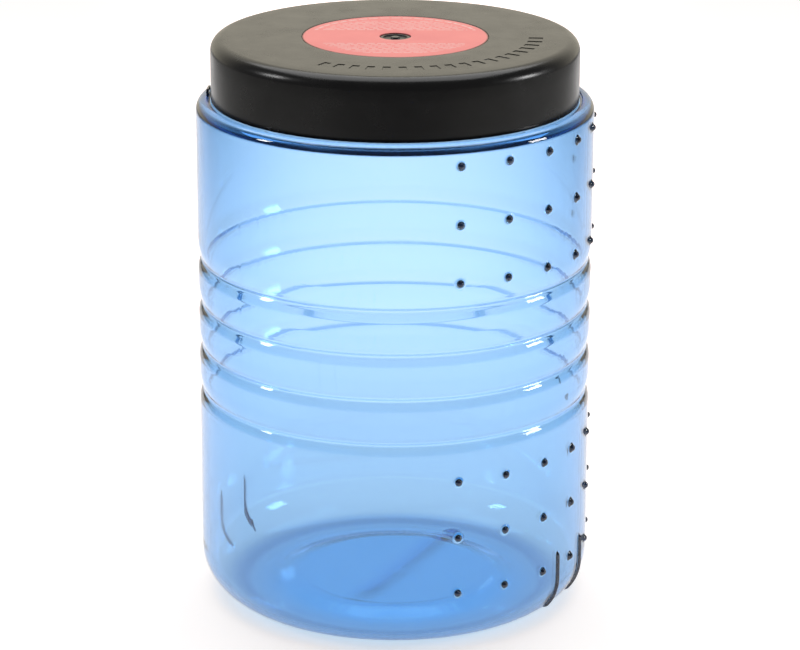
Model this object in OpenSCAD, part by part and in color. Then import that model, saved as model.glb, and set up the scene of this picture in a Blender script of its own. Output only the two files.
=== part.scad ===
// Clear screw-top food canister: a ribbed one-piece shell and a black overcap lid.
// Millimetres. The base stands on z = 0 and the axis of the canister is +Z.
// Azimuths are degrees from -Y, counted towards +X.

/* [Housing] */
// Outer radius of the body wall
body_r = 110.5; // [100:0.5:120]
// Wall thickness of the shell
wall = 3; // [2:0.1:3.5]
// Radius of the rounded corner between wall and base
base_corner_r = 27; // [24:1:34]
// Height that the middle of the base is pushed up
push_up = 5; // [3:0.5:8]
// Height of the rim that stands up round the lid
rim_z = 288.5; // [288.4:0.1:289]
// Radius of the rim's outer corner
rim_corner_r = 6; // [4:0.5:6.5]
// Inner radius of the rim
rim_inner_r = 103.8; // [103.4:0.1:104.2]
// Height of the shallow trough inside the rim, over which the lid's skirt stops
trough_z = 287.6; // [286.8:0.1:287.7]
// Outer radius of the neck
neck_r = 96; // [95:0.1:96.2]
// Height of the top of the neck
neck_z = 317; // [315:0.5:317.5]

/* [Rings] */
// Number of grooves that part the body rings
groove_count = 4; // [1:1:4]
// Height of the highest groove
groove_top_z = 198.3; // [195:0.1:200]
// Distance from groove to groove
groove_pitch = 25.4; // [24:0.1:26]
// Depth of each groove
groove_depth = 2.4; // [1:0.1:2.8]
// Radius of the shoulder below each groove
shoulder_r = 11; // [8:0.5:14]
// Radius of the curve above each groove
underside_r = 27; // [20:1:30]

/* [Strap bumps and ribs] */
// Azimuth of the first column of strap bumps
bump_first_azimuth = 18.4; // [0:0.1:30]
// Angle between columns of strap bumps
bump_step = 15; // [12:0.5:18]
// Number of columns of strap bumps
bump_columns = 7; // [3:1:8]
// Height of the highest row of strap bumps
bump_top_z = 276.7; // [270:0.1:277]
// Height of the highest row below the rings
bump_low_z = 99.6; // [96:0.1:102]
// Distance between rows of strap bumps
bump_pitch = 32.3; // [30:0.1:33]
// Diameter of one strap bump
bump_d = 6; // [4:0.1:8]
// Height that a strap bump stands out
bump_h = 2; // [1:0.1:2.5]
// Azimuth of the middle of the first pair of grip ribs
rib_azimuth = 63.9; // [50:0.1:80]
// Angle between the two ribs of a pair
rib_spread = 16; // [10:0.5:20]
// Width of a grip rib
rib_w = 2.2; // [1.5:0.1:4]
// Height that a grip rib stands out
rib_h = 1.4; // [0.8:0.1:2]
// Height of the top of the grip ribs
rib_top_z = 42; // [36:1:50]

/* [Lid] */
// Height of the lid's top face
lid_top_z = 322.6; // [321:0.1:324]
// Outer radius of the lid
lid_r = 102; // [101.5:0.1:102.2]
// Thickness of the lid's skirt
skirt = 3; // [2.6:0.1:3]
// Thickness of the lid's top
lid_top = 4; // [3.5:0.1:4.5]
// Radius of the lid's top edge
lid_edge_r = 7; // [5:0.1:7.5]
// Radius of the label
label_r = 51.2; // [40:0.1:60]
// Radius of the hole in the middle of the label
label_hole_r = 8.8; // [8.7:0.1:12]
// Number of plain marks sunk into the lid's top
mark_count = 19; // [3:1:19]
// Azimuth of the first mark
mark_first_azimuth = -29; // [-40:1:0]
// Angle from mark to mark
mark_step = 6.4; // [5:0.1:8]
// Radius of the middle of the row of marks
mark_r = 77.5; // [60:0.5:86]

/* [Thread] */
// Rise of the lid in one turn
lead = 13; // [12:0.5:14]
// Radial height of a thread ridge
thread_h = 2.2; // [1.6:0.1:2.3]
// Axial width of a thread ridge where it leaves the wall
thread_w = 4; // [3:0.1:4.4]
// Angle that the neck's thread runs through
neck_thread_sweep = 390; // [360:5:420]

/* [Snap tabs] */
// Azimuths of the two snap tabs and of the stops that they click behind
tab_azimuths = [262, 142];
// Angle that a snap tab spans
tab_angle = 15.4; // [12:0.1:18]
// Height of the top of a snap tab
tab_top_z = 305.6; // [300:0.1:306]

/* [Hidden] */
$fn = 96;
embed = 0.8;                       // depth that a moulded-on feature is sunk into its wall
cut = 1;                           // overrun of a cutting tool past the face that it opens
arc_steps = 8;                     // segments in a quarter of an outline's arc
clear_blue = [0.62, 0.8, 0.96, 0.45];
deep_blue = [0.08, 0.16, 0.34];
lid_black = [0.09, 0.09, 0.085];
label_red = [0.96, 0.6, 0.57];

inner_r = body_r - wall;
standing_r = 72;                   // inner radius of the ring that the base stands on
standing_edge_r = 6;               // rounding where that ring meets the raised middle
push_up_r = 56;                    // radius of the raised middle of the base
push_up_edge_r = 12;               // rounding of the raised middle's edge
wall_low_z = base_corner_r + 3;    // where the base ends and the body wall starts
wall_high_z = rim_z - 30;          // where the body wall ends and the shoulder starts
neck_low_z = trough_z + 3;         // where the shoulder ends and the neck starts
neck_lip_r = 1.4;                  // rounding of the neck's top
neck_foot_r = 1;                   // rounding where the neck meets the trough
neck_root_r = 2;                   // rounding inside the neck's foot
under_z = trough_z - 2;            // underside of the shoulder, inside the neck's foot
slope_r = 102.5;                   // radius at which the underside starts to slope down
slope_z = 282.7;                   // height at which that slope meets the wall
slope_edge_r = 0.4;                // rounding of the slope's edges
trough_fillet = 0.3;               // rounding where the rim meets the trough
rim_inner_edge_r = 0.5;            // rounding of the rim's inner edge
skirt_z = trough_z + 0.4;          // lower edge of the lid's skirt
skirt_inner_r = lid_r - skirt;
lid_inner_z = lid_top_z - lid_top;
label_t = 0.5;                     // label thickness
label_sink = 0.6;                  // depth of the label's seat
label_gap = 0.2;                   // gap round the label in its seat
lid_inner_edge_r = 3;              // rounding inside the lid's top
skirt_edge_r = 0.6;                // rounding of the skirt's lower edge
seat_edge_r = 0.3;                 // rounding of the label seat's edge
mark_angle = 3.2;                  // angle that a mark spans
mark_l = 8;                        // radial length of a mark
mark_depth = 0.4;                  // depth of a mark
hub_r = 8.4;                       // radius of the gate boss in the lid's middle
hub_gap = 0.08;                    // running gap round the gate boss
hub_rim = 1.6;                     // width of the gate boss's rim
hub_dish = 1.4;                    // depth of the gate boss's dish
gate_r = 2.4;                      // radius of the gate mark in the dish
gate_drop = 0.3;                   // how far the gate mark stays below the lid's top
tab_gap = 0.5;                     // slot round a snap tab
thread_crest = 0.5;                // width of a thread's crest over the width of its root
thread_gap = 0.4;                  // axial play between the two threads
thread_start_z = 299;              // middle of the neck thread at its lower end
thread_segments = 60;              // straight pieces in one turn of a thread
lid_thread_from = 4;               // azimuths between which the lid's thread runs
lid_thread_to = 352;
tab_clearance = 2;                 // angle between a snap tab and the lid's thread
stop_h = 3.6;                      // height of a stop above the rim
stop_reach = 0.5;                  // how far a stop reaches in past the rim
stop_t = 1.4;                      // radial thickness of a stop
stop_angle = 5;                    // angle that a stop spans
stop_gap = 1;                      // angle between a closed tab's nub and its stop
stop_edge_r = 0.4;                 // rounding of a stop's top
nub_reach = 0.9;                   // how far a snap tab's nub stands out
nub_angle = 3;                     // angle that a nub spans
nub_low = 0.4;                     // heights of a nub above the rim, at its foot
nub_high = stop_h + 0.4;
nub_slope = 0.4;                   // drop from foot to face along the nub's lower flank
nub_lead_in = 1.4;                 // and along its upper flank
rib_end_angle = -50;               // where a grip rib ends on the base corner
welt_w = 1.6;                      // width of the welt across the base
welt_l = 104;                      // its length
welt_h = 0.9;                      // height that it stands out, inside and under the base
button_r = 3;                      // radius of the button at the welt's end

// Points on an arc in the (radius, height) plane.
function arc(centre, r, from, to, steps) =
    [for (i = [0 : steps]) let (a = from + (to - from) * i / steps)
        centre + r * [cos(a), sin(a)]];

// The arc that rounds corner b between a and c.
function fillet(a, b, c, r, steps) =
    let (u = (a - b) / norm(a - b),
         v = (c - b) / norm(c - b),
         half = acos(u * v) / 2,
         middle = b + (u + v) / norm(u + v) * r / sin(half),
         start = b + u * r / tan(half) - middle,
         end = b + v * r / tan(half) - middle,
         from = atan2(start.y, start.x),
         sweep = (atan2(end.y, end.x) - from + 540) % 360 - 180)
    arc(middle, r, from, from + sweep, steps);

// A polyline of [radius, height, rounding] corners, with each corner rounded.
function rounded(corners) =
    let (last = len(corners) - 1,
         flat = [for (c = corners) [c.x, c.y]])
    [for (i = [0 : last])
        each (i == 0 || i == last || corners[i].z == 0)
            ? [flat[i]]
            : fillet(flat[i - 1], flat[i], flat[i + 1], corners[i].z, arc_steps)];

// The stretch of wall at groove k, from the shoulder below it to the curve above it.
function groove(k, r) =
    let (z = groove_top_z - k * groove_pitch,
         shoulder_a = acos(1 - groove_depth / shoulder_r),
         underside_a = acos(1 - groove_depth / underside_r))
    concat(
        arc([r - shoulder_r, z - shoulder_r * sin(shoulder_a)], shoulder_r, 0, shoulder_a, arc_steps),
        arc([r - underside_r, z + underside_r * sin(underside_a)], underside_r, -underside_a, 0, arc_steps));

// Every groove from the lowest to the highest, for a wall of radius r.
function grooves(r) = [for (k = [groove_count - 1 : -1 : 0]) each groove(k, r)];

// Turn a feature that points along +X to its azimuth.
module at_azimuth(a) { rotate([0, 0, a - 90]) children(); }

// A slice of a ring of the given (radius, height) outline, centred on its azimuth.
module ring_slice(azimuth, angle) {
    at_azimuth(azimuth)
        rotate([0, 0, -angle / 2])
            rotate_extrude(angle = angle) children();
}

// The shell is one moulding. Its base, body wall, shoulder and neck are nodes that meet face to face.
module housing_base() {
    color(clear_blue)
        rotate_extrude()
            polygon(concat(
                rounded([
                    [0, push_up, 0], [push_up_r, push_up, push_up_edge_r],
                    [standing_r, 0, standing_edge_r], [body_r, 0, base_corner_r],
                    [body_r, wall_low_z, 0]]),
                rounded([
                    [inner_r, wall_low_z, 0], [inner_r, wall, base_corner_r - wall],
                    [standing_r, wall, standing_edge_r],
                    [push_up_r, push_up + wall, push_up_edge_r], [0, push_up + wall, 0]])));
}

module housing_wall() {
    inner_grooves = grooves(inner_r);
    color(clear_blue)
        rotate_extrude()
            polygon(concat(
                [[body_r, wall_low_z]], grooves(body_r), [[body_r, wall_high_z]],
                [[inner_r, wall_high_z]],
                [for (i = [len(inner_grooves) - 1 : -1 : 0]) inner_grooves[i]],
                [[inner_r, wall_low_z]]));
}

// The shoulder: the rim, the shallow trough inside it and the neck's foot. Its underside slopes.
module housing_shoulder() {
    color(clear_blue)
        rotate_extrude()
            polygon(rounded([
                [body_r, wall_high_z, 0], [body_r, rim_z, rim_corner_r],
                [rim_inner_r, rim_z, rim_inner_edge_r], [rim_inner_r, trough_z, trough_fillet],
                [neck_r, trough_z, neck_foot_r], [neck_r, neck_low_z, 0],
                [neck_r - wall, neck_low_z, 0], [neck_r - wall, under_z, neck_root_r],
                [slope_r, under_z, slope_edge_r], [inner_r, slope_z, slope_edge_r],
                [inner_r, wall_high_z, 0]]));
}

module housing_neck() {
    color(clear_blue)
        rotate_extrude()
            polygon(rounded([
                [neck_r, neck_low_z, 0], [neck_r, neck_z, neck_lip_r],
                [neck_r - wall, neck_z, neck_lip_r], [neck_r - wall, neck_low_z, 0]]));
}

// A helical ridge from azimuth a0 over the given sweep. Its middle passes z0 at azimuth 0 and
// climbs one lead a turn. root_r lies in the wall and crest_r is the free edge.
module helix_ridge(root_r, crest_r, z0, a0, sweep) {
    steps = round(thread_segments * sweep / 360);
    half_root = thread_w / 2;
    half_crest = half_root * thread_crest;
    ring = [[root_r, -half_root], [crest_r, -half_crest], [crest_r, half_crest], [root_r, half_root]];
    points = [for (i = [0 : steps]) for (p = ring)
        let (a = a0 + sweep * i / steps)
        [p.x * sin(a), -p.x * cos(a), z0 + lead * a / 360 + p.y]];
    sides = [for (i = [0 : steps - 1]) for (j = [0 : 3])
        [4 * i + j, 4 * i + (j + 1) % 4, 4 * i + 4 + (j + 1) % 4, 4 * i + 4 + j]];
    ends = [[3, 2, 1, 0], [for (j = [0 : 3]) 4 * steps + j]];
    flip = root_r > crest_r;
    faces = concat(sides, ends);
    polyhedron(points, flip ? faces : [for (f = faces) [for (i = [len(f) - 1 : -1 : 0]) f[i]]], 2);
}

module neck_thread() {
    color(clear_blue)
        helix_ridge(neck_r - embed, neck_r + thread_h, thread_start_z, 0, neck_thread_sweep);
}

// One stop per snap tab, standing on the rim at the side that the lid opens towards.
module rim_stops() {
    inner = rim_inner_r - stop_reach;
    foot_z = rim_z - 2 * embed;
    top_z = rim_z + stop_h;
    color(clear_blue)
        for (a = tab_azimuths)
            ring_slice(a + nub_angle / 2 + stop_gap + stop_angle / 2, stop_angle)
                polygon(rounded([
                    [inner, foot_z, 0], [inner + stop_t, foot_z, 0],
                    [inner + stop_t, top_z, stop_edge_r], [inner, top_z, stop_edge_r],
                    [inner, foot_z, 0]]));
}

// A rounded peg that points along +X from the wall.
module strap_bump() {
    top_r = bump_d / 4;
    rotate([0, 90, 0])
        rotate_extrude()
            polygon(rounded([
                [0, -embed, 0], [bump_d / 2, -embed, 0], [bump_d / 2, 0, 0],
                [top_r, bump_h, top_r], [0, bump_h, 0]]));
}

module strap_bump_patch(top_z) {
    color(deep_blue)
        for (row = [0 : 2], column = [0 : bump_columns - 1])
            at_azimuth(bump_first_azimuth + column * bump_step)
                translate([body_r, 0, top_z - row * bump_pitch])
                    strap_bump();
}

module strap_bumps_upper() { strap_bump_patch(bump_top_z); }

module strap_bumps_lower() { strap_bump_patch(bump_low_z); }

// Two upright ribs that follow the wall down and round the base corner.
module grip_rib_pair(azimuth) {
    corner = [body_r - base_corner_r, base_corner_r];
    color(deep_blue)
        for (side = [-1, 1])
            ring_slice(azimuth + side * rib_spread / 2, rib_w / body_r * 180 / PI)
                polygon(concat(
                    [[body_r - embed, rib_top_z], [body_r - embed, base_corner_r]],
                    arc(corner, base_corner_r - embed, 0, rib_end_angle, arc_steps),
                    arc(corner, base_corner_r + rib_h, rib_end_angle, 0, arc_steps),
                    [[body_r + rib_h, rib_top_z - rib_h], [body_r, rib_top_z]]));
}

module grip_ribs_front() { grip_rib_pair(rib_azimuth); }

module grip_ribs_rear() { grip_rib_pair(rib_azimuth + 180); }

// The welt where the blow mould pinched the shell shut, with its tail button.
module base_weld() {
    color(deep_blue)
        at_azimuth(rib_azimuth + 90) {
            translate([-welt_l / 2, -welt_w / 2, push_up - welt_h])
                cube([welt_l, welt_w, wall + 2 * welt_h]);
            translate([welt_l / 2 - welt_w, 0, push_up + embed])
                cylinder(r = button_r, h = wall + welt_h - embed);
        }
}

module lid() {
    bore_r = hub_r + hub_gap;
    seat_r = label_r + label_gap;
    seat_z = lid_top_z - label_sink;
    color(lid_black)
        difference() {
            rotate_extrude()
                polygon(rounded([
                    [bore_r, lid_inner_z, 0], [skirt_inner_r, lid_inner_z, lid_inner_edge_r],
                    [skirt_inner_r, skirt_z, skirt_edge_r], [lid_r, skirt_z, skirt_edge_r],
                    [lid_r, lid_top_z, lid_edge_r], [seat_r + label_gap, lid_top_z, seat_edge_r],
                    [seat_r, seat_z, 0], [bore_r, seat_z, 0]]));
            for (a = tab_azimuths) tab_window(a);
            for (i = [0 : mark_count - 1]) top_mark(mark_first_azimuth + i * mark_step);
        }
}

// The slot that frees a snap tab from the lid's skirt.
module tab_window(azimuth) {
    ring_slice(azimuth, tab_angle + 2 * tab_gap / lid_r * 180 / PI)
        translate([skirt_inner_r - cut, skirt_z - cut])
            square([skirt + 2 * cut, tab_top_z + tab_gap - skirt_z + cut]);
}

module top_mark(azimuth) {
    ring_slice(azimuth, mark_angle)
        translate([mark_r - mark_l / 2, lid_top_z - mark_depth])
            square([mark_l, mark_depth + cut]);
}

// The lid's thread, in three lengths that leave the snap tabs free.
module lid_thread() {
    z0 = thread_start_z - thread_w - thread_gap;
    half_window = tab_angle / 2 + tab_clearance;
    starts = [lid_thread_from, tab_azimuths[1] + half_window, tab_azimuths[0] + half_window];
    ends = [tab_azimuths[1] - half_window, tab_azimuths[0] - half_window, lid_thread_to];
    color(lid_black)
        for (i = [0 : len(starts) - 1])
            helix_ridge(skirt_inner_r + embed, skirt_inner_r - thread_h, z0, starts[i], ends[i] - starts[i]);
}

// The round gate boss in the middle of the lid.
module lid_hub() {
    color(lid_black)
        translate([0, 0, lid_inner_z]) {
            difference() {
                cylinder(r = hub_r, h = lid_top - label_sink);
                translate([0, 0, lid_top - hub_dish]) cylinder(r = hub_r - hub_rim, h = lid_top);
            }
            cylinder(r = gate_r, h = lid_top - gate_drop);
        }
}

module lid_label() {
    color(label_red)
        translate([0, 0, lid_top_z - label_sink])
            difference() {
                cylinder(r = label_r, h = label_t);
                translate([0, 0, -cut]) cylinder(r = label_hole_r, h = label_t + 2 * cut);
            }
}

// A tongue of the skirt with a nub that clicks behind its stop. The skirt flexes at its top.
module snap_tab(azimuth) {
    color(lid_black) {
        ring_slice(azimuth, tab_angle)
            polygon(rounded([
                [skirt_inner_r, tab_top_z, 0], [skirt_inner_r, skirt_z, skirt_edge_r],
                [lid_r, skirt_z, skirt_edge_r], [lid_r, tab_top_z, 0]]));
        ring_slice(azimuth, nub_angle)
            polygon([
                [lid_r - embed, rim_z + nub_low],
                [lid_r + nub_reach, rim_z + nub_low + nub_slope],
                [lid_r + nub_reach, rim_z + nub_high - nub_lead_in],
                [lid_r - embed, rim_z + nub_high]]);
    }
}

module snap_tab_left() { snap_tab(tab_azimuths[0]); }

module snap_tab_rear() { snap_tab(tab_azimuths[1]); }

housing_base();
housing_wall();
housing_shoulder();
housing_neck();
neck_thread();
rim_stops();
strap_bumps_upper();
strap_bumps_lower();
grip_ribs_front();
grip_ribs_rear();
base_weld();
lid();
lid_thread();
lid_hub();
lid_label();
snap_tab_left();
snap_tab_rear();
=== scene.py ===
"""Clear screw-top food canister: the visual model and its studio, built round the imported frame.

Lengths are metres. Azimuths are degrees from -Y, counted towards +X, as in part.scad.
"""

import math

import bmesh
import bpy
import numpy as np
from mathutils import Matrix, Vector


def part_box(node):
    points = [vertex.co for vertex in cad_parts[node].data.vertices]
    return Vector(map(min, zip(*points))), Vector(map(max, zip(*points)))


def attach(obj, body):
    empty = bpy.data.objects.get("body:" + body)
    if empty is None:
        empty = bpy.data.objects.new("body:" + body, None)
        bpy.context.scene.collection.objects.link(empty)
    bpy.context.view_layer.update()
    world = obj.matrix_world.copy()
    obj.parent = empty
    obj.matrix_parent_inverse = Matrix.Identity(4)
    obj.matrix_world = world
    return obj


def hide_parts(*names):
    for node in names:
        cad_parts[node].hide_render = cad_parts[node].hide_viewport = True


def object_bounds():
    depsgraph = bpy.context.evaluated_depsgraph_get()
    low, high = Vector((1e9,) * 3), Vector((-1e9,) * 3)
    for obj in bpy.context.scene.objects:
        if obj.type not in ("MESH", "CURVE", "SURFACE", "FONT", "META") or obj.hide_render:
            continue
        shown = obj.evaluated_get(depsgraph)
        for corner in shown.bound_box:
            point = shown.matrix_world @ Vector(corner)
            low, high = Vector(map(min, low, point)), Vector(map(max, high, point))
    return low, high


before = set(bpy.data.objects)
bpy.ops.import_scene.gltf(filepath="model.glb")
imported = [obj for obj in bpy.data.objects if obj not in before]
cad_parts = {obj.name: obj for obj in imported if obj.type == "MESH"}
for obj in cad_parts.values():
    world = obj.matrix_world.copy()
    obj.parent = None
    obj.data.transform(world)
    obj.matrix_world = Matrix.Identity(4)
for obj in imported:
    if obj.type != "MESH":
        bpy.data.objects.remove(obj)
cad_low, cad_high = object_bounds()

MM = 0.001

# Sizes read from the CAD model.
wall_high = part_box("housing_wall")[1]
neck_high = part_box("housing_neck")[1]
lid_low, lid_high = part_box("lid")
label_low, label_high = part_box("lid_label")
hub_low, hub_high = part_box("lid_hub")
upper_low, upper_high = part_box("strap_bumps_upper")
lower_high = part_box("strap_bumps_lower")[1]
rib_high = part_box("grip_ribs_front")[1]

body_r = wall_high[0]
neck_z = neck_high[2]
lid_r = lid_high[0]
lid_top_z = lid_high[2]
skirt_z = lid_low[2]
label_r = label_high[0]
hub_r = hub_high[0]
rib_top_z = rib_high[2]

# Sizes shared with part.scad that no node's box gives.
embed = 0.8 * MM
wall = 3 * MM
base_corner_r = 27 * MM
push_up = 5 * MM
push_up_r = 56 * MM
standing_r = 72 * MM
rim_z = 288.5 * MM
rim_corner_r = 6 * MM
rim_inner_r = 103.8 * MM
trough_z = 287.6 * MM
trough_edge_r = 0.3 * MM
shoulder_z = rim_z - 30 * MM
neck_low_z = trough_z + 3 * MM
neck_r = 96 * MM
neck_foot_r = 1 * MM
neck_lip_r = 1.4 * MM
neck_root_r = 2 * MM
under_z = trough_z - 2 * MM
slope_r = 102.5 * MM
slope_z = 282.7 * MM
slope_edge_r = 0.4 * MM
groove_count = 4
groove_top_z = 198.3 * MM
groove_pitch = 25.4 * MM
groove_depth = 2.4 * MM
shoulder_r = 11 * MM
underside_r = 27 * MM
bump_first_azimuth = 18.4
bump_step = 15
bump_column_count = 7
bump_d = 6 * MM
bump_h = 2 * MM
rib_azimuth = 63.9
rib_spread = 16
rib_h = 1.4 * MM
rib_w = 2.2 * MM
weld_azimuth = rib_azimuth + 90
skirt = 3 * MM
lid_top = 4 * MM
lid_edge_r = 7 * MM
lid_inner_edge_r = 3 * MM
skirt_edge_r = 0.6 * MM
seat_edge_r = 0.3 * MM
label_hole_r = 8.8 * MM
hub_gap = 0.08 * MM
hub_rim = 1.6 * MM
hub_dish = 1.4 * MM
lead = 13 * MM
thread_h = 2.2 * MM
thread_w = 4 * MM
thread_start_z = 299 * MM
thread_sweep = 390
thread_gap = 0.4 * MM
lid_thread_from = 4
lid_thread_to = 352
tab_azimuths = {"left": 262, "rear": 142}
tab_angle = 15.4
tab_top_z = 305.6 * MM
tab_gap = 0.5 * MM
tab_clearance = 2
nub_angle = 3
nub_reach = 0.9 * MM
stop_angle = 5
stop_h = 3.6 * MM
stop_reach = 0.5 * MM
stop_t = 1.4 * MM
stop_gap = 1
stop_edge_r = 0.4 * MM
mark_count = 19
mark_first_azimuth = -29
mark_step = 6.4
mark_r = 77.5 * MM
mark_l = 8 * MM
mark_angle = 3.2

# Sizes of the visual model alone: softer roundings, and details that differ a little from the CAD's.
base_blend_r = 30 * MM
groove_bottom_r = 3 * MM
rim_edge_r = 0.45 * MM
rib_end_angle = -48
rib_foot_angle = 40
rib_foot_z = base_corner_r * (1 - math.cos(math.radians(rib_foot_angle)))
weld_near = 56 * MM
weld_far = 79 * MM
weld_h = 0.7 * MM
weld_w = 8 * MM
button_h = 1.8 * MM
button_r = 4.2 * MM
label_gap = 0.5 * MM
label_edge_r = 0.15 * MM
hub_rim_drop = 0.6 * MM
hub_edge_r = 0.3 * MM
gate_r = 2.3 * MM
gate_drop = 0.35 * MM
stop_foot = 1.6 * MM
mark_depth = 0.3 * MM

# Fineness of the turned shapes: degrees between azimuths, and the longest stretches of outline.
azimuth_step = 1.5
shell_stretch = 6 * MM
lid_stretch = 8 * MM

bump_columns = [bump_first_azimuth + bump_step * i for i in range(bump_column_count)]
bump_pitch = (upper_high[2] - upper_low[2] - bump_d) / 2
bump_rows = [high[2] - bump_d / 2 - i * bump_pitch
             for high in (upper_high, lower_high) for i in range(3)]
rib_azimuths = [rib_azimuth + half + side * rib_spread / 2 for half in (0, 180) for side in (-1, 1)]


# ---------------------------------------------------------------- outlines

def arc(centre, r, start, end, steps):
    """Points on an arc in the (radius, height) plane, angles in degrees."""
    angles = np.radians(np.linspace(start, end, steps + 1))
    return [(centre[0] + r * math.cos(a), centre[1] + r * math.sin(a)) for a in angles]


def fillet(a, b, c, r, steps):
    """The arc that rounds corner b between a and c."""
    a, b, c = (np.array(p, float) for p in (a, b, c))
    u = (a - b) / np.linalg.norm(a - b)
    v = (c - b) / np.linalg.norm(c - b)
    half = math.acos(float(np.clip(u @ v, -1, 1))) / 2
    middle = b + (u + v) / np.linalg.norm(u + v) * r / math.sin(half)
    start = b + u * r / math.tan(half) - middle
    end = b + v * r / math.tan(half) - middle
    first = math.degrees(math.atan2(start[1], start[0]))
    sweep = (math.degrees(math.atan2(end[1], end[0])) - first + 540) % 360 - 180
    return arc(middle, r, first, first + sweep, steps)


def rounded(corners, steps=8):
    """A polyline of (radius, height, rounding) corners with each corner rounded."""
    flat = [c[:2] for c in corners]
    points = []
    for i, corner in enumerate(corners):
        if i in (0, len(corners) - 1) or corner[2] == 0:
            points.append(flat[i])
        else:
            points += fillet(flat[i - 1], flat[i], flat[i + 1], corner[2], steps)
    return points


def groove(k, r, steps=12):
    """The stretch of wall at groove k: the shoulder below it, its rounded bottom and the curve above."""
    z = groove_top_z - k * groove_pitch
    shoulder_a = math.degrees(math.acos(1 - groove_depth / shoulder_r))
    underside_a = math.degrees(math.acos(1 - groove_depth / underside_r))
    below = z - shoulder_r * math.sin(math.radians(shoulder_a))
    above = z + underside_r * math.sin(math.radians(underside_a))
    shoulder = arc((r - shoulder_r, below), shoulder_r, 0, shoulder_a, steps)
    underside = arc((r - underside_r, above), underside_r, -underside_a, 0, steps)
    bottom = fillet(shoulder[-5], (r - groove_depth, z), underside[3], groove_bottom_r, 8)
    return shoulder[:-4] + bottom + underside[3:]


def grooves(r):
    """Every groove from the lowest to the highest, for a wall of radius r."""
    return [p for k in reversed(range(groove_count)) for p in groove(k, r)]


def without_repeats(points, least=1e-6):
    """The same outline without points that fall on the one before."""
    kept = [points[0]]
    for p in points[1:]:
        if math.dist(p, kept[-1]) > least:
            kept.append(p)
    return kept


def subdivided(points, longest):
    """The same outline with no stretch longer than the given length."""
    out = [points[0]]
    for a, b in zip(points, points[1:]):
        n = max(1, math.ceil(math.dist(a, b) / longest))
        out += [(a[0] + (b[0] - a[0]) * i / n, a[1] + (b[1] - a[1]) * i / n) for i in range(1, n + 1)]
    return out


def with_heights(points, r, heights):
    """Adds points at the given heights to the upright stretches of the outline at radius r."""
    out = [points[0]]
    for a, b in zip(points, points[1:]):
        if abs(a[0] - r) < 1e-7 and abs(b[0] - r) < 1e-7:
            inside = [z for z in heights if min(a[1], b[1]) < z < max(a[1], b[1])]
            out += [(r, z) for z in sorted(inside, reverse=b[1] < a[1])]
        out.append(b)
    return without_repeats(out, 1e-5)


# ---------------------------------------------------------------- mesh making

def new_object(name, mesh, body, look, replaces):
    """A piece that rides on a body, has a material slot and a look, and stands for CAD nodes."""
    piece = bpy.data.objects.new(name, mesh)
    bpy.context.collection.objects.link(piece)
    piece.data.materials.append(look)
    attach(piece, body)
    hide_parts(*replaces)
    return piece


def polar(r, azimuth, z):
    """A point from its distance to the Z axis, its azimuth and its height."""
    a = math.radians(azimuth)
    return Vector((r * math.sin(a), -r * math.cos(a), z))


def lathe(name, outline, azimuths, shift=None, closed=False):
    """Turns an outline about the Z axis. shift(r, z, azimuth, index) moves each point along the
    outline's outward normal. A full turn wraps round; a closed outline joins its ends."""
    points = np.array(outline)
    count = len(points)
    around = np.array(azimuths, float)
    if closed:
        tangent = np.roll(points, -1, 0) - np.roll(points, 1, 0)
    else:
        tangent = np.gradient(points, axis=0)
    tangent /= np.linalg.norm(tangent, axis=1)[:, None]
    normal = np.stack([tangent[:, 1], -tangent[:, 0]], 1)
    r, azimuth = np.meshgrid(points[:, 0], around, indexing="ij")
    z = np.repeat(points[:, 1][:, None], len(around), 1)
    if shift:
        index = np.repeat(np.arange(count)[:, None], len(around), 1)
        offset = shift(r, z, azimuth, index)
        z = z + offset * normal[:, 1][:, None]
        r = r + offset * normal[:, 0][:, None]
    a = np.radians(azimuth)
    xyz = np.stack([r * np.sin(a), -r * np.cos(a), z], -1)

    mesh = bmesh.new()
    rows = []
    for i in range(count):
        if points[i, 0] < 1e-9:
            pole = mesh.verts.new((0, 0, float(z[i].mean())))
            rows.append([pole] * len(around))
        else:
            rows.append([mesh.verts.new(p) for p in xyz[i]])
    for i in range(count if closed else count - 1):
        low, high = rows[i], rows[(i + 1) % count]
        for j in range(len(around)):
            k = (j + 1) % len(around)
            ring = [low[j], low[k], high[k], high[j]]
            ring = [v for n, v in enumerate(ring) if v is not ring[n - 1]]
            mesh.faces.new(ring)
    return finished(mesh, name)


def swept(name, sections):
    """Joins equal rings of points into one closed skin. Each ring runs anticlockwise seen from behind."""
    mesh = bmesh.new()
    rings = [[mesh.verts.new(p) for p in section] for section in sections]
    n = len(rings[0])
    for low, high in zip(rings, rings[1:]):
        for j in range(n):
            mesh.faces.new([low[j], low[(j + 1) % n], high[(j + 1) % n], high[j]])
    mesh.faces.new(rings[0][::-1])
    mesh.faces.new(rings[-1])
    bmesh.ops.recalc_face_normals(mesh, faces=mesh.faces)
    return finished(mesh, name)


def finished(mesh, name):
    """Turns a bmesh into mesh data with smooth shading."""
    for face in mesh.faces:
        face.smooth = True
    data = bpy.data.meshes.new(name)
    mesh.to_mesh(data)
    mesh.free()
    return data


def joined(name, meshes):
    """One mesh from several, none of which touch."""
    mesh = bmesh.new()
    for part in meshes:
        mesh.from_mesh(part)
        bpy.data.meshes.remove(part)
    data = bpy.data.meshes.new(name)
    mesh.to_mesh(data)
    mesh.free()
    return data


def ring_slice(name, outline, azimuth, angle, steps=10):
    """A slice of a ring with a closed (radius, height) outline, centred on its azimuth."""
    around = np.linspace(azimuth - angle / 2, azimuth + angle / 2, steps + 1)
    return swept(name, [[polar(r, a, z) for r, z in outline] for a in around])


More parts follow.
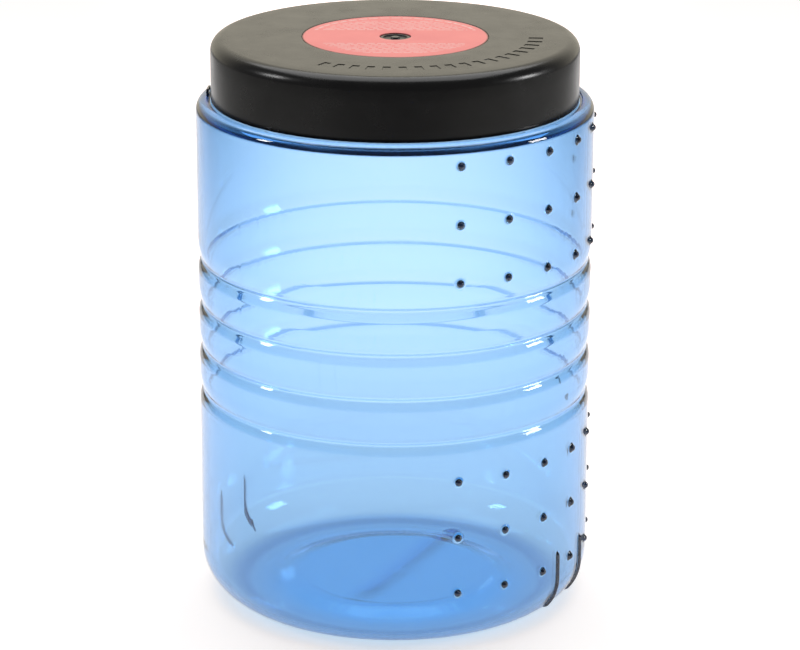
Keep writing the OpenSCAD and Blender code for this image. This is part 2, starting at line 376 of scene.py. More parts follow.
def apply_modifiers(piece):
    """Applies the piece's modifiers to its mesh."""
    graph = bpy.context.evaluated_depsgraph_get()
    mesh = bpy.data.meshes.new_from_object(piece.evaluated_get(graph))
    piece.modifiers.clear()
    piece.data = mesh


def cut_away(piece, cutters):
    """Cuts closed meshes out of a piece."""
    tool = bpy.data.objects.new("cutter", joined("cutter", cutters))
    bpy.context.collection.objects.link(tool)
    cut = piece.modifiers.new("cut", "BOOLEAN")
    cut.object = tool
    cut.operation = "DIFFERENCE"
    cut.solver = "EXACT"
    apply_modifiers(piece)
    bpy.data.objects.remove(tool)


def sharpen(piece, angle):
    """Smooth shading that breaks at edges sharper than the given angle."""
    mesh = bmesh.new()
    mesh.from_mesh(piece.data)
    for face in mesh.faces:
        face.smooth = True
    for edge in mesh.edges:
        edge.smooth = len(edge.link_faces) == 2 and edge.calc_face_angle() < math.radians(angle)
    mesh.to_mesh(piece.data)
    mesh.free()


# ---------------------------------------------------------------- materials

def material(name, surface):
    """A Principled material. surface maps socket names to plain values."""
    made = bpy.data.materials.new(name)
    made.use_nodes = True
    shader = made.node_tree.nodes["Principled BSDF"]
    for socket, value in surface.items():
        shader.inputs[socket].default_value = value
    return made, made.node_tree, shader


def node(tree, kind, inputs=None, **settings):
    """Adds a node, sets its properties and links or sets its inputs by name or number."""
    made = tree.nodes.new(kind)
    for key, value in settings.items():
        setattr(made, key, value)
    for key, value in (inputs or {}).items():
        if isinstance(value, bpy.types.NodeSocket):
            tree.links.new(value, made.inputs[key])
        else:
            made.inputs[key].default_value = value
    return made


def math_node(tree, operation, a, b=0.0):
    """The result of one sum on sockets or plain values."""
    return node(tree, "ShaderNodeMath", {0: a, 1: b}, operation=operation).outputs[0]


def noise(tree, place, scale, detail=2.0, roughness=0.5):
    """A noise texture's value at a place."""
    return node(tree, "ShaderNodeTexNoise", {"Vector": place, "Scale": scale, "Detail": detail,
                                             "Roughness": roughness}).outputs["Fac"]


def object_place(tree):
    """The shaded point in its own piece's coordinates."""
    return node(tree, "ShaderNodeTexCoord").outputs["Object"]


def ramp(tree, value, low, high, out_low=0.0, out_high=1.0):
    """Goes evenly from out_low to out_high as the value goes from low to high, and stays there."""
    return node(tree, "ShaderNodeMapRange", {"Value": value, "From Min": low, "From Max": high,
                                             "To Min": out_low, "To Max": out_high}).outputs["Result"]


def soft_ramp(tree, value, low, high):
    """Goes smoothly from 0 to 1 as the value goes from low to high."""
    return node(tree, "ShaderNodeMapRange", {"Value": value, "From Min": low, "From Max": high},
                interpolation_type="SMOOTHSTEP").outputs["Result"]


def mixed(tree, factor, a, b):
    """The colour a at factor 0 and b at factor 1."""
    made = node(tree, "ShaderNodeMix", {"Factor": factor}, data_type="RGBA")
    for socket, value in ((made.inputs[6], a), (made.inputs[7], b)):
        if isinstance(value, bpy.types.NodeSocket):
            tree.links.new(value, socket)
        else:
            socket.default_value = value
    return made.outputs[2]


def add_bump(tree, shader, height, distance, strength=1.0):
    """Tilts the shader's surface as if a height of 1 stood out by the given distance."""
    bump = node(tree, "ShaderNodeBump", {"Height": height, "Distance": distance, "Strength": strength})
    tree.links.new(bump.outputs["Normal"], shader.inputs["Normal"])


def height_and_radius(tree, place):
    """The height of a point and its distance from the Z axis."""
    axes = node(tree, "ShaderNodeSeparateXYZ", {0: place})
    flat = node(tree, "ShaderNodeCombineXYZ", {0: axes.outputs["X"], 1: axes.outputs["Y"]}).outputs[0]
    r = node(tree, "ShaderNodeVectorMath", {0: flat}, operation="LENGTH").outputs["Value"]
    return axes.outputs["Z"], r


def clear_material(name, density):
    """Tinted clear polycarbonate with the faint waves and haze of a blow-moulded wall. Its colour carries
    painted shade: darker at the groove bottoms, round the rim and at the heel."""
    untinted = (1, 1, 1, 1)
    groove_shade = (0.52, 0.67, 0.85, 1)
    rim_shade = (0.16, 0.26, 0.4, 1)
    heel_shade = (0.45, 0.6, 0.78, 1)
    passed_light = (0.0, 0.5, 0.85, 1)
    smoothest, roughest = 0.015, 0.055
    made, tree, shader = material(name, {
        "Base Color": untinted, "Transmission Weight": 1.0, "IOR": 1.585, "Roughness": smoothest})
    place = object_place(tree)
    haze = ramp(tree, noise(tree, place, 35, 4), 0.35, 0.75, smoothest, roughest)
    tree.links.new(haze, shader.inputs["Roughness"])
    add_bump(tree, shader, noise(tree, place, 18, 1.0), 0.05 * MM)

    z, r = height_and_radius(tree, place)
    turns = math_node(tree, "DIVIDE", math_node(tree, "SUBTRACT", groove_top_z, z), groove_pitch)
    nearest = math_node(tree, "MINIMUM", math_node(tree, "MAXIMUM", math_node(tree, "ROUND", turns), 0.0),
                        groove_count - 1.0)
    from_groove = math_node(tree, "ABSOLUTE", math_node(tree, "SUBTRACT", turns, nearest))
    # Painted shade: darker towards each groove bottom.
    in_groove = ramp(tree, from_groove, 0.75 * MM / groove_pitch, 0.2 * MM / groove_pitch)
    tint_and_shade = mixed(tree, in_groove, untinted, groove_shade)

    # Painted shade: a dark band round the rim, for the dark that the thick curved rim refracts.
    rim_band_z = rim_z - 3.4 * MM
    from_rim = math_node(tree, "ABSOLUTE", math_node(tree, "SUBTRACT", z, rim_band_z))
    on_rim = math_node(tree, "MULTIPLY", ramp(tree, from_rim, 2.8 * MM, 1.6 * MM),
                       ramp(tree, r, body_r - 3.4 * MM, body_r - 2.2 * MM))
    tint_and_shade = mixed(tree, on_rim, tint_and_shade, rim_shade)

    # Painted shade: darker at the heel, where the base meets the table.
    on_heel = math_node(tree, "MULTIPLY", ramp(tree, z, 4 * MM, 1 * MM), ramp(tree, r, 82 * MM, 87 * MM))
    tint_and_shade = mixed(tree, on_heel, tint_and_shade, heel_shade)
    tree.links.new(tint_and_shade, shader.inputs["Base Color"])
    volume = node(tree, "ShaderNodeVolumeAbsorption", {"Color": passed_light, "Density": density})
    tree.links.new(volume.outputs[0], tree.nodes["Material Output"].inputs["Volume"])
    return made


def moulding_material(name, shade_low, shade_high):
    """The shell's own plastic where it is thick and tightly curved, which no longer looks clear: an opaque
    colour, near black or deep blue, painted in for the shade that the refraction makes there.
    """
    made, tree, shader = material(name, {
        "Roughness": 0.12, "IOR": 1.585, "Specular IOR Level": 0.5, "Coat Weight": 0.4,
        "Coat Roughness": 0.05})
    place = object_place(tree)
    tint_and_shade = mixed(tree, ramp(tree, noise(tree, place, 260, 2), 0.35, 0.7), shade_low, shade_high)
    tree.links.new(tint_and_shade, shader.inputs["Base Color"])
    return made


def lid_material():
    """Black moulded plastic with a fine satin texture."""
    darkest = (0.007, 0.0065, 0.0055, 1)
    lightest = (0.013, 0.012, 0.01, 1)
    middle = (0.008, 0.0075, 0.0065, 1)
    made, tree, shader = material("lid_black", {
        "Base Color": middle, "Roughness": 0.3, "IOR": 1.5, "Specular IOR Level": 0.5})
    place = object_place(tree)
    grain = noise(tree, place, 1400, 3, 0.6)
    flow = noise(tree, place, 9, 3)
    wear = noise(tree, place, 60, 5, 0.65)
    tone = mixed(tree, ramp(tree, flow, 0.3, 0.7), darkest, lightest)
    tree.links.new(tone, shader.inputs["Base Color"])
    tree.links.new(ramp(tree, wear, 0.3, 0.75, 0.2, 0.3), shader.inputs["Roughness"])
    add_bump(tree, shader, grain, 0.03 * MM, 0.35)
    return made


def label_material():
    """Salmon film with rows of pale bars in the place of print, and a painted shadow round its edge."""
    film_low = (0.92, 0.21, 0.21, 1)
    film_high = (0.98, 0.245, 0.235, 1)
    seat_shadow_colour = (0.3, 0.09, 0.07, 1)
    print_colour = (0.95, 0.6, 0.58, 1)
    row_pitch, row_fill = 3.1 * MM, 0.42
    word_pitch, word_stagger = 5.5 * MM, 0.37
    shortest_word, longest_word = 0.55, 0.96
    first_row, last_row = 5, 13
    print_margin = 8 * MM
    headline_margin, headline_half = 4.5 * MM, 0.9 * MM
    headline_letters, letter_fill = 7.3, 0.8
    made, tree, shader = material("label", {
        "Roughness": 0.38, "IOR": 1.45, "Specular IOR Level": 0.35, "Coat Weight": 0.15,
        "Coat Roughness": 0.25})
    place = object_place(tree)
    axes = node(tree, "ShaderNodeSeparateXYZ", {0: place})
    x, y = axes.outputs["X"], axes.outputs["Y"]
    r = height_and_radius(tree, place)[1]

    row = math_node(tree, "DIVIDE", y, row_pitch)
    row_number = math_node(tree, "FLOOR", row)
    in_row = math_node(tree, "LESS_THAN", math_node(tree, "FRACT", row), row_fill)
    stagger = math_node(tree, "MULTIPLY", row_number, word_stagger)
    shifted = math_node(tree, "ADD", math_node(tree, "DIVIDE", x, word_pitch), stagger)
    word_number = math_node(tree, "FLOOR", shifted)
    cell = node(tree, "ShaderNodeCombineXYZ", {0: word_number, 1: row_number}).outputs[0]
    width = node(tree, "ShaderNodeTexWhiteNoise", {"Vector": cell}, noise_dimensions="2D").outputs["Value"]
    word_end = ramp(tree, width, 0, 1, shortest_word, longest_word)
    in_word = math_node(tree, "LESS_THAN", math_node(tree, "FRACT", shifted), word_end)
    from_middle = math_node(tree, "ABSOLUTE", y)
    blocks = math_node(tree, "MULTIPLY",
                       math_node(tree, "GREATER_THAN", from_middle, first_row * row_pitch),
                       math_node(tree, "LESS_THAN", from_middle, last_row * row_pitch))
    inside = math_node(tree, "LESS_THAN", r, label_r - print_margin)
    printed = math_node(tree, "MULTIPLY", math_node(tree, "MULTIPLY", in_row, in_word),
                        math_node(tree, "MULTIPLY", blocks, inside))

    from_band = math_node(tree, "ABSOLUTE", math_node(tree, "SUBTRACT", r, label_r - headline_margin))
    band = math_node(tree, "LESS_THAN", from_band, headline_half)
    letter = math_node(tree, "MULTIPLY", math_node(tree, "ARCTAN2", y, x), headline_letters)
    letters = math_node(tree, "LESS_THAN", math_node(tree, "FRACT", letter), letter_fill)
    top_part = math_node(tree, "GREATER_THAN", y, label_r * 0.3)
    headline = math_node(tree, "MULTIPLY", math_node(tree, "MULTIPLY", band, letters), top_part)
    print_mask = math_node(tree, "MAXIMUM", printed, headline)

    fade = ramp(tree, noise(tree, place, 700, 2), 0.35, 0.65, 0.45, 0.9)
    cloud = ramp(tree, noise(tree, place, 45, 3), 0.3, 0.7)
    film = mixed(tree, cloud, film_low, film_high)
    # Painted shadow: the film darkens just inside its edge, where the seat shades it.
    edge = ramp(tree, r, label_r - 0.9 * MM, label_r - 0.2 * MM)
    film = mixed(tree, edge, film, seat_shadow_colour)
    colour = mixed(tree, math_node(tree, "MULTIPLY", print_mask, fade), film, print_colour)
    tree.links.new(colour, shader.inputs["Base Color"])
    raised = math_node(tree, "ADD", noise(tree, place, 900, 2), print_mask)
    add_bump(tree, shader, raised, 0.02 * MM, 0.5)
    return made


def floor_material():
    """A plain white table that glows evenly, with a painted pool of light behind the canister and a
    painted blue glow under it, as light through the shell makes it. It is painted grey and dim in front
    and at the sides, outside the camera's view, so that its reflection in the lid stays dark."""
    white_low = (0.64, 0.64, 0.64, 1)
    white_high = (0.66, 0.66, 0.66, 1)
    grey = (0.25, 0.25, 0.25, 1)
    plain_glow = (0.68, 0.65, 0.64, 1)
    pool_glow = (1.85, 1.42, 1.3, 1)
    blue_glow = (0.25, 0.64, 0.98, 1)
    grey_glow = (0.12, 0.12, 0.12, 1)
    made, tree, shader = material("floor_white", {
        "Roughness": 0.9, "Specular IOR Level": 0.0, "Emission Strength": 1.0})
    place = object_place(tree)
    axes = node(tree, "ShaderNodeSeparateXYZ", {0: place})
    x, y = axes.outputs["X"], axes.outputs["Y"]
    aside = math_node(tree, "ABSOLUTE", x)
    # Painted shade: grey and dim in front and at the sides.
    lit = math_node(tree, "MULTIPLY", ramp(tree, y, -1.0, -0.25), ramp(tree, aside, 1.1, 0.55))
    # A painted pool of light behind the canister.
    pool = math_node(tree, "MULTIPLY", soft_ramp(tree, y, 0.1, 0.7), soft_ramp(tree, aside, 0.33, 0.0))
    r = height_and_radius(tree, place)[1]
    # A painted blue glow under the canister, for the light through the shell.
    away = ramp(tree, r, 0.55 * body_r, 0.97 * body_r)
    tone = mixed(tree, noise(tree, place, 3, 2), white_low, white_high)
    tree.links.new(mixed(tree, lit, grey, tone), shader.inputs["Base Color"])
    glow = mixed(tree, away, blue_glow, mixed(tree, pool, plain_glow, pool_glow))
    tree.links.new(mixed(tree, lit, grey_glow, glow), shader.inputs["Emission Color"])
    return made


# ---------------------------------------------------------------- the shell

OUTSIDE, RIM, NECK, INSIDE = range(4)


def smooth_step(x):
    """Rises smoothly from 0 to 1 as x goes from 0 to 1."""
    x = np.clip(x, 0, 1)
    return x * x * (3 - 2 * x)


def turn_between(a, b):
    """Signed angle from b to a in degrees, between -180 and 180."""
    return (a - b + 180) % 360 - 180


def bump_shift(z, azimuth):
    """A flared foot for every strap bump, rising to a small round top."""
    foot_h = bump_h * 0.97
    steepness, flare = 1.12, 0.9
    total = np.zeros_like(z)
    for column in bump_columns:
        across = np.radians(turn_between(azimuth, column)) * body_r
        for row in bump_rows:
            d = np.hypot(across, z - row) / (bump_d / 2)
            total = np.maximum(total, foot_h * smooth_step(steepness * (1 - d)) ** flare)
    return total


def rib_shift(z, azimuth):
    """The feet of the grip ribs, which run down the wall and round the base corner."""
    foot_top_z = rib_top_z + 0.4 * MM
    top_fade, bottom_fade = 1.8 * MM, 6 * MM
    half_w = rib_w * 0.8
    near_share, far_share = 0.95, 0.5
    total = np.zeros_like(z)
    along = smooth_step((foot_top_z - z) / top_fade) * smooth_step((z - rib_foot_z) / bottom_fade)
    for centre in rib_azimuths:
        across = np.abs(np.radians(turn_between(azimuth, centre))) * body_r
        height = rib_h * (near_share if centre < 180 else far_share)
        total = np.maximum(total, height * smooth_step(1 - across / half_w) * along)
    return total


def thread_shift(z, azimuth, start_z, sweep):
    """A helical ridge of a little more than one turn that fades in and out at its ends."""
    half_root, flank = thread_w * 0.62, thread_w * 0.4
    height = thread_h * 0.97
    fade_angle = 14
    total = np.zeros_like(z)
    for turn in (0, 360):
        run = azimuth % 360 + turn
        centre = start_z + lead * run / 360
        profile = smooth_step((half_root - np.abs(z - centre)) / flank)
        ends = smooth_step(run / fade_angle) * smooth_step((sweep - run) / fade_angle)
        total = np.maximum(total, height * profile * ends)
    return total


def weld_shift(r, azimuth):
    """The soft welt across the base where the mould pinched the shell, with a button at its end."""
    near_fade, far_fade = 30 * MM, 14 * MM
    a = np.radians(azimuth - weld_azimuth)
    along = r * np.cos(a)
    across = r * np.sin(a)
    ends = smooth_step((along + weld_near) / near_fade) * smooth_step((weld_far - along) / far_fade)
    welt = weld_h * np.exp(-(across / weld_w) ** 2) * ends
    from_button = ((along - weld_far) ** 2 + across ** 2) / button_r ** 2
    button = button_h * np.exp(-from_button ** 1.5)
    return welt + button


def shell_outline():
    """The shell's outline in four stretches, outside, rim, neck and inside, with the number of the
    stretch for each point."""
    inner_r = body_r - wall
    heel_z = base_corner_r + 5 * MM
    lip_z = neck_z - 1.5 * MM
    fine = 0.5 * MM
    # Close rows of points at every row of bumps, and one every millimetre down the grip ribs.
    fine_heights = [row + step * fine for row in bump_rows for step in range(-7, 8)]
    fine_heights += list(np.arange(24, 46) * MM)
    outside = rounded([(0, push_up, 0), (push_up_r, push_up, base_blend_r), (standing_r, 0, base_blend_r),
                       (body_r, 0, base_corner_r), (body_r, heel_z, 0)], 14)
    outside += grooves(body_r)
    outside += [(body_r, shoulder_z)]
    outside = with_heights(subdivided(outside, shell_stretch), body_r, fine_heights)
    rim = rounded([(body_r, shoulder_z, 0), (body_r, rim_z, rim_corner_r),
                   (rim_inner_r, rim_z, rim_edge_r), (rim_inner_r, trough_z, trough_edge_r),
                   (neck_r, trough_z, neck_foot_r), (neck_r, neck_low_z, 0)], 12)
    rim = with_heights(subdivided(rim, shell_stretch), body_r, fine_heights)
    neck_heights = list(np.arange(thread_start_z - thread_w, lip_z, fine))
    neck = with_heights([(neck_r, neck_low_z), (neck_r, lip_z)], neck_r, neck_heights)
    top = rounded([(neck_r, neck_z - 2 * MM, 0), (neck_r, neck_z, neck_lip_r),
                   (neck_r - wall, neck_z, neck_lip_r), (neck_r - wall, under_z, neck_root_r),
                   (slope_r, under_z, slope_edge_r), (inner_r, slope_z, slope_edge_r),
                   (inner_r, slope_z - 20 * MM, 0)], 10)
    inside = top + grooves(inner_r)[::-1]
    inside += rounded([(inner_r, heel_z, 0), (inner_r, wall, base_corner_r - wall),
                       (standing_r, wall, base_blend_r), (push_up_r, push_up + wall, base_blend_r),
                       (0, push_up + wall, 0)], 14)
    inside = subdivided(inside, shell_stretch)
    outline, kinds = [], []
    for kind, stretch in zip((OUTSIDE, RIM, NECK, INSIDE), (outside, rim, neck, inside)):
        for p in stretch:
            if not outline or math.dist(p, outline[-1]) > 1e-5:
                outline.append(p)
                kinds.append(kind)
    return outline, np.array(kinds)


def shell_azimuths():
    """Even steps round the wall, closer together at the bumps, the ribs and the base weld."""
    degree = math.degrees(1 / body_r)
    bump_fine, rib_fine = 0.5 * MM * degree, 0.35 * MM * degree
    weld_fine, weld_growth = 0.7, 1.6
    least_gap = 0.08
    lines = set(np.round(np.arange(0, 360, azimuth_step), 3))
    for column in bump_columns:
        lines |= {round((column + i * bump_fine) % 360, 3) for i in range(-7, 8)}
    for centre in rib_azimuths:
        lines |= {round((centre + i * rib_fine) % 360, 3) for i in range(-6, 7)}
    for side in (0, 180):
        for i in range(-9, 10):
            aside = math.copysign(abs(i) ** weld_growth * weld_fine, i)
            lines.add(round((weld_azimuth + side + aside) % 360, 3))
    ordered = sorted(lines)
    kept = [ordered[0]]
    for a in ordered[1:]:
        if a - kept[-1] > least_gap:
            kept.append(a)
    return kept


def make_shell(clear):
    """The blow-moulded shell as one closed wall, with its bumps, ribs, thread and weld drawn out of it."""
    outline, kinds = shell_outline()
    floor_r, floor_top_z = 88 * MM, 12 * MM
    under_r = 58 * MM
    under_share = 0.4
    outer_r = body_r - 6.5 * MM

    def shift(r, z, azimuth, index):
        """How far each point moves: bumps and ribs outside, thread on the neck, weld in the base."""
        kind = kinds[index]
        base = (r < floor_r) & (z < floor_top_z)
        outer_wall = ((kind == OUTSIDE) | (kind == RIM)) & (r > outer_r) & ~base
        moved = np.where(outer_wall, bump_shift(z, azimuth) + rib_shift(z, azimuth), 0)
        moved = moved + np.where(kind == NECK, thread_shift(z, azimuth, thread_start_z, thread_sweep), 0)
        weld = weld_shift(r, azimuth)
        above = (kind == INSIDE) & base
        below = (kind == OUTSIDE) & base & (r < under_r)
        return moved + np.where(above, weld, 0) + np.where(below, under_share * weld, 0)

    mesh = lathe("shell", outline, shell_azimuths(), shift)
    new_object("shell", mesh, "canister", clear,
               ["housing_base", "housing_wall", "housing_shoulder", "housing_neck",
                "neck_thread", "base_weld"])


def make_bump_cores(name, rows, node_name, look):
    """The dark round tops of the strap bumps, opaque pieces of painted shade inside the clear bumps. Their
    outline counts in core radii and bump heights.
    """
    core_r = bump_d * 0.3
    least_r = 0.02
    dome = [(math.sin(t), 0.25 + 0.77 * math.cos(t)) for t in np.linspace(0.25, 1.35, 6)]
    outline = [(0, 1.02)] + dome + [(1.02, 0.1), (0.9, -0.35), (0, -0.5)]
    turn = np.linspace(0, 2 * math.pi, 20, endpoint=False)
    up = Vector((0, 0, 1))
    cores = []
    for row in rows:
        for column in bump_columns:
            out = polar(1, column, 0)
            side = up.cross(out)
            base = polar(body_r, column, row)
            rings = []
            for r, h in outline:
                centre = base + out * (h * bump_h)
                width = max(r, least_r)
                rings.append([centre + (side * math.cos(t) + up * math.sin(t)) * width * core_r
                              for t in turn])
            cores.append(swept(name, rings))
    new_object(name, joined(name, cores), "canister", look, [node_name])


def make_ribs(name, centres, node_name, look):
    """Grip ribs: slim rounded bars that follow the wall down and round the base corner."""
    half_w = rib_w * 0.42
    half_h, sunk = 1.15, 0.12
    height = 0.95
    end_taper, taper_step = 0.25, 0.4
    corner = (body_r - base_corner_r, base_corner_r)
    path = [(body_r, rib_top_z - 0.6 * MM), (body_r, base_corner_r + 4 * MM)]
    path = subdivided(path, 2 * MM) + arc(corner, base_corner_r, 0, rib_end_angle, 16)
    last = len(path) - 1
    turn = np.linspace(0, 2 * math.pi, 14, endpoint=False)
    up = Vector((0, 0, 1))
    ribs = []
    for centre in centres:
        out = polar(1, centre, 0)
        side = up.cross(out)
        sections = []
        for i, (r, z) in enumerate(path):
            t = np.array(path[min(i + 1, last)]) - np.array(path[max(i - 1, 0)])
            t /= np.linalg.norm(t)
            normal = out * -t[1] + Vector((0, 0, t[0]))
            taper = min(1, end_taper + min(i, last - i) * taper_step)
            middle = out * r + Vector((0, 0, z))
            sections.append([middle + side * (math.cos(a) * half_w * taper)
                             + normal * ((math.sin(a) * half_h - sunk) * rib_h * taper * height)
                             for a in turn])
        ribs.append(swept(name, sections))
    new_object(name, joined(name, ribs), "canister", look, [node_name])


def make_stops(dark):
    """The stops that stand on the rim beside the snap tabs."""
    inner = rim_inner_r - stop_reach
    foot = rim_z - stop_foot
    top = rim_z + stop_h
    outline = rounded([(inner, foot, 0), (inner + stop_t, foot, 0), (inner + stop_t, top, stop_edge_r),
                       (inner, top, stop_edge_r), (inner, foot, 0)], 4)[:-1]
    parts = [ring_slice("stop", outline, a + nub_angle / 2 + stop_gap + stop_angle / 2, stop_angle)
             for a in tab_azimuths.values()]
    mesh = joined("rim_stop_lugs", parts)
    # The stops take the near-black moulding of painted shade.
    piece = new_object("rim_stop_lugs", mesh, "canister", dark, ["rim_stops"])
    sharpen(piece, 35)


# ---------------------------------------------------------------- the lid

def tab_window(azimuth):
    """The slot that frees a snap tab from the skirt."""
    skirt_inner = lid_r - skirt
    gap = math.degrees(tab_gap / lid_r)
    outline = [(skirt_inner - MM, skirt_z - MM), (lid_r + MM, skirt_z - MM),
               (lid_r + MM, tab_top_z + tab_gap), (skirt_inner - MM, tab_top_z + tab_gap)]
    return ring_slice("window", outline, azimuth, tab_angle + 2 * gap)


def turn_mark(i):
    """One sunk mark of the row round the front of the lid's top."""
    inner, outer = mark_r - mark_l / 2, mark_r + mark_l / 2
    outline = [(inner, lid_top_z - mark_depth), (outer, lid_top_z - mark_depth),
               (outer, lid_top_z + MM), (inner, lid_top_z + MM)]
    return ring_slice("mark", outline, mark_first_azimuth + i * mark_step, mark_angle, 4)


def make_lid(black):
    """The overcap, with the label's seat, the sunk marks and the windows round the snap tabs."""
    skirt_inner = lid_r - skirt
    inner_z = lid_top_z - lid_top
    seat_z = label_low[2]
    bore = hub_r + hub_gap
    seat_r = label_r + label_gap
    outline = rounded([
        (bore, inner_z, 0), (skirt_inner, inner_z, lid_inner_edge_r), (skirt_inner, skirt_z, skirt_edge_r),
        (lid_r, skirt_z, skirt_edge_r), (lid_r, lid_top_z, lid_edge_r), (seat_r, lid_top_z, seat_edge_r),
        (seat_r - seat_edge_r, seat_z, 0), (bore, seat_z, 0)], 12)
    mesh = lathe("lid_cap", subdivided(outline, lid_stretch), np.arange(0, 360, azimuth_step), closed=True)
    piece = new_object("lid_cap", mesh, "lid_turning", black, ["lid"])
    windows = [tab_window(a) for a in tab_azimuths.values()]
    marks = [turn_mark(i) for i in range(mark_count)]
    cut_away(piece, windows + marks)
    piece.data.materials.clear()
    piece.data.materials.append(black)
    sharpen(piece, 32)


def make_lid_thread(black):
    """The lid's thread in three lengths, which leave the snap tabs free."""
    start_z = thread_start_z - thread_w - thread_gap
    half_gap = tab_angle / 2 + tab_clearance
    first, second = tab_azimuths["rear"], tab_azimuths["left"]
    spans = [(lid_thread_from, first - half_gap), (first + half_gap, second - half_gap),
             (second + half_gap, lid_thread_to)]
    root = lid_r - skirt + embed
    crest = lid_r - skirt - thread_h
    half_root, half_tip = thread_w / 2, thread_w / 4
    section_angle, fade_angle = 4, 8
    least = 0.15
    lengths = []
    for start, end in spans:
        sections = []
        for a in np.linspace(start, end, round((end - start) / section_angle)):
            fade = least + (1 - least) * float(smooth_step(min(a - start, end - a) / fade_angle))
            z = start_z + lead * a / 360
            tip = root + (crest - root) * fade
            upper = [(tip, half_tip * 0.7), (tip + 0.3 * MM, half_tip + 0.15 * MM), (root, half_root)]
            lower = [(r, -h) for r, h in reversed(upper)]
            sections.append([polar(r, a, z + h) for r, h in lower + upper])
        lengths.append(swept("thread", sections))
    mesh = joined("lid_thread_ridge", lengths)
    piece = new_object("lid_thread_ridge", mesh, "lid_turning", black, ["lid_thread"])
    sharpen(piece, 40)


def make_label(film):
    """The label disc in its seat, with the hole for the gate boss."""
    low, high = label_low[2], label_high[2]
    outline = rounded([(label_hole_r, low, 0), (label_r, low, 0), (label_r, high, label_edge_r),
                       (label_hole_r, high, label_edge_r), (label_hole_r, low, 0)], 4)[:-1]
    mesh = lathe("label_disc", subdivided(outline, 6 * MM), np.arange(0, 360, 2), closed=True)
    piece = new_object("label_disc", mesh, "lid_turning", film, ["lid_label"])
    sharpen(piece, 40)


def make_hub(black):
    """The gate boss: a dished disc with the rounded mark of the mould's gate in its middle."""
    low = hub_low[2]
    rim = lid_top_z - hub_rim_drop
    dish = lid_top_z - hub_dish
    gate = lid_top_z - gate_drop
    outline = rounded([(0, low, 0), (hub_r, low, 0), (hub_r, rim, 0.25 * MM),
                       (hub_r - hub_rim, rim, hub_edge_r), (hub_r - hub_rim - 0.4 * MM, dish, hub_edge_r),
                       (gate_r + 0.3 * MM, dish, hub_edge_r), (gate_r, gate, hub_edge_r), (0, gate, 0)], 5)
    mesh = lathe("gate_boss", subdivided(outline, 3 * MM), np.arange(0, 360, 5))
    piece = new_object("gate_boss", mesh, "lid_lift", black, ["lid_hub"])
    sharpen(piece, 40)


def make_tab(side, azimuth, black):
    """A snap tab: a curved tongue of the skirt with a nub."""
    skirt_inner = lid_r - skirt
    tongue = rounded([(skirt_inner, tab_top_z, 0), (skirt_inner, skirt_z, skirt_edge_r),
                      (lid_r, skirt_z, skirt_edge_r), (lid_r, tab_top_z, 0),
                      (skirt_inner, tab_top_z, 0)], 5)[:-1]
    root = lid_r - 0.5 * MM
    tip = lid_r + nub_reach
    low, high = rim_z + 0.2 * MM, rim_z + stop_h
    nub_edge_r = 0.3 * MM
    nub = rounded([(root, low, 0), (tip, low + 0.6 * MM, nub_edge_r), (tip, high - MM, nub_edge_r),
                   (root, high, 0), (root, low, 0)], 4)[:-1]
    name = "snap_tongue_" + side
    mesh = joined(name, [ring_slice(name, tongue, azimuth, tab_angle, 14),
                         ring_slice(name, nub, azimuth, nub_angle, 6)])
    piece = new_object(name, mesh, "tab_" + side, black, ["snap_tab_" + side])
    sharpen(piece, 35)


# ---------------------------------------------------------------- the studio

def look_at(thing, target):
    """Turns a lamp so that it shines at a point."""
    thing.rotation_mode = "QUATERNION"
    thing.rotation_quaternion = (Vector(target) - thing.location).to_track_quat("-Z", "Y")


def area_light(name, place, target, size, energy):
    """A softbox: a rectangular lamp that the camera itself doesn't see."""
    data = bpy.data.lights.new(name, "AREA")
    data.shape = "RECTANGLE"
    data.size, data.size_y = size
    data.energy = energy
    lamp = bpy.data.objects.new(name, data)
    lamp.location = place
    lamp.visible_camera = False
    bpy.context.collection.objects.link(lamp)
    look_at(lamp, target)


def make_floor():
    """The table, just below the plane that the canister stands on."""
    mesh = bmesh.new()
    left, right, front, back = -2, 2, -1.2, 2.6
    below = 0.2 * MM
    corners = [(left, front, 0), (right, front, 0), (right, back, 0), (left, back, 0)]
    mesh.faces.new([mesh.verts.new(c) for c in corners])
    bmesh.ops.subdivide_edges(mesh, edges=mesh.edges, cuts=8, use_grid_fill=True)
    floor = bpy.data.objects.new("floor", finished(mesh, "floor"))
    bpy.context.collection.objects.link(floor)
    floor.location.z = cad_low[2] - below
    floor.data.materials.append(floor_material())


def make_world():
    """White behind the canister and nearly dark on the camera's side."""
    world = bpy.data.worlds.new("studio")
    bpy.context.scene.world = world
    world.use_nodes = True
    tree = world.node_tree
    direction = node(tree, "ShaderNodeTexCoord").outputs["Generated"]
    axes = node(tree, "ShaderNodeSeparateXYZ", {0: direction})
    behind = soft_ramp(tree, axes.outputs["Y"], 0.35, 0.98)
    dim, bright = (0.1, 0.105, 0.12, 1), (0.92, 0.86, 0.71, 1)
    colour = mixed(tree, behind, dim, bright)
    tree.links.new(colour, tree.nodes["Background"].inputs["Color"])


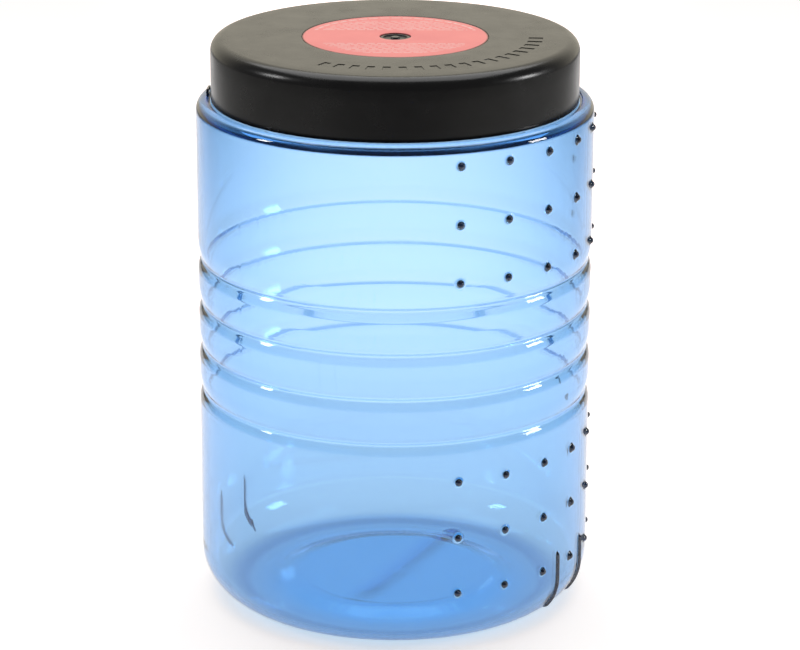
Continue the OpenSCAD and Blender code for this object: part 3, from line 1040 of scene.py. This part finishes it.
def make_camera():
    """The photograph's viewpoint: 1.75 m away, 0.72 m up, long lens, looking down 17.8 degrees."""
    distance, height = 1.7506, 0.7179
    pitch, yaw, roll = math.radians(17.815), math.radians(0.101), math.radians(0.167)
    forward = Vector((math.sin(yaw) * math.cos(pitch), math.cos(yaw) * math.cos(pitch), -math.sin(pitch)))
    level = Vector((math.cos(yaw), -math.sin(yaw), 0))
    upright = level.cross(forward)
    right = level * math.cos(roll) + upright * math.sin(roll)
    up = upright * math.cos(roll) - level * math.sin(roll)
    data = bpy.data.cameras.new("camera")
    data.sensor_width = 36
    data.lens = 146.0
    camera = bpy.data.objects.new("camera", data)
    bpy.context.collection.objects.link(camera)
    turn = Matrix((right, up, -forward)).transposed().to_4x4()
    camera.matrix_world = Matrix.Translation((0, -distance, height)) @ turn
    bpy.context.scene.camera = camera


def make_studio():
    """The table, the surroundings, a big softbox overhead and a smaller one on each side."""
    make_floor()
    make_world()
    centre = (0, 0, 0.16)
    area_light("overhead", (0.0, 0.45, 1.8), centre, size=(2.2, 1.7), energy=26)
    area_light("right_key", (1.35, -0.1, 0.5), centre, size=(0.3, 0.3), energy=4)
    area_light("left_window", (-1.2, -0.2, 0.8), centre, size=(0.16, 0.3), energy=2.5)
    make_camera()
    bpy.context.scene.view_settings.view_transform = "Standard"


# ---------------------------------------------------------------- assembly

clear = clear_material("clear_blue", density=215)
# Opaque mouldings whose colours are painted shade, near black and deep blue.
dark = moulding_material("dark_moulding_shade", (0.004, 0.008, 0.022, 1), (0.012, 0.035, 0.1, 1))
blue = moulding_material("blue_moulding_shade", (0.3, 0.46, 0.68, 1), (0.38, 0.55, 0.78, 1))
black = lid_material()
film = label_material()

make_shell(clear)
# The bump tops take the near-black moulding of painted shade.
make_bump_cores("bump_cores_upper", bump_rows[:3], "strap_bumps_upper", dark)
make_bump_cores("bump_cores_lower", bump_rows[3:], "strap_bumps_lower", dark)
# The ribs' colours are painted shade: near black in front, deep blue for the rear ribs seen through the
# wall.
make_ribs("rib_bars_front", rib_azimuths[:2], "grip_ribs_front", dark)
make_ribs("rib_bars_rear", rib_azimuths[2:], "grip_ribs_rear", blue)
make_stops(dark)
make_lid(black)
make_lid_thread(black)
make_label(film)
make_hub(black)
for side, azimuth in tab_azimuths.items():
    make_tab(side, azimuth, black)
make_studio()

bpy.context.view_layer.update()
